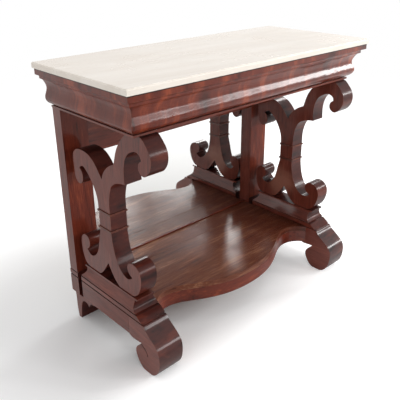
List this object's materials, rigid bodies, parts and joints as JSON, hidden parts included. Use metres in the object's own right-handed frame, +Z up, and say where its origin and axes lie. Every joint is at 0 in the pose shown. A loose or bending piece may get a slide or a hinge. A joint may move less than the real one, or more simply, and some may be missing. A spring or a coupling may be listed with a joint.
{
  "type": "pier table",
  "caption": "Mahogany console with a marble top, ogee apron, S-scroll supports, serpentine lower shelf, scroll feet and a mirror set between back pilasters.",
  "frame": {"origin": "on the floor, below the middle of the whole table, 9 mm in front of the marble's middle", "axes": "+X to the right seen from the front, +Y to the wall behind the table, +Z up"},
  "size_m": [1.067, 0.488, 0.914],
  "materials": {
    "marble": "polished cream marble",
    "mahogany": "dark red-brown mahogany, French polished",
    "shelf_mahogany": "polished mahogany, worn and faded on top",
    "collar_wood": "polished, lighter edge",
    "mirror": "silvered plate glass",
    "pine": "unfinished aged softwood",
    "dowel_birch": "unfinished",
    "iron": "blackened"
  },
  "bodies": {
    "root": {"marble_top": "marble", "front_cornice": "mahogany", "front_bottom_bead": "mahogany", "front_core_rail": "pine", "upper_back_panel": "mahogany", "marble_bearers": "pine", "frame_glue_blocks": "pine", "mirror_glass": "mirror", "mirror_bottom_bead": "mahogany", "mirror_wedges": "pine", "lower_backboard": "pine", "middle_backboard": "pine", "upper_backboard": "pine", "backboard_nails": "iron", "shelf_front_board": "shelf_mahogany", "shelf_back_board": "shelf_mahogany", "shelf_front_rail": "mahogany", "shelf_rear_rail": "pine", "cleat_screws": "iron", "shelf_glue_blocks": "pine", "left_cornice": "mahogany", "right_cornice": "mahogany", "left_bottom_bead": "mahogany", "right_bottom_bead": "mahogany", "left_core_rail": "pine", "right_core_rail": "pine", "left_pilaster": "mahogany", "right_pilaster": "mahogany", "left_pilaster_base": "mahogany", "right_pilaster_base": "mahogany", "left_upper_scroll": "mahogany", "right_upper_scroll": "mahogany", "left_upper_collar": "collar_wood", "right_upper_collar": "collar_wood", "left_waist_block": "mahogany", "right_waist_block": "mahogany", "left_lower_collar": "collar_wood", "right_lower_collar": "collar_wood", "left_lower_scroll": "mahogany", "right_lower_scroll": "mahogany", "left_support_dowels": "dowel_birch", "right_support_dowels": "dowel_birch", "left_plinth_block": "mahogany", "right_plinth_block": "mahogany", "left_bead_band": "mahogany", "right_bead_band": "mahogany", "left_runner": "mahogany", "right_runner": "mahogany", "left_front_foot": "mahogany", "right_front_foot": "mahogany", "left_rear_foot": "mahogany", "right_rear_foot": "mahogany", "left_base_dowels": "dowel_birch", "right_base_dowels": "dowel_birch", "left_shelf_cleat": "pine", "right_shelf_cleat": "pine"}
  },
  "joints": []
}
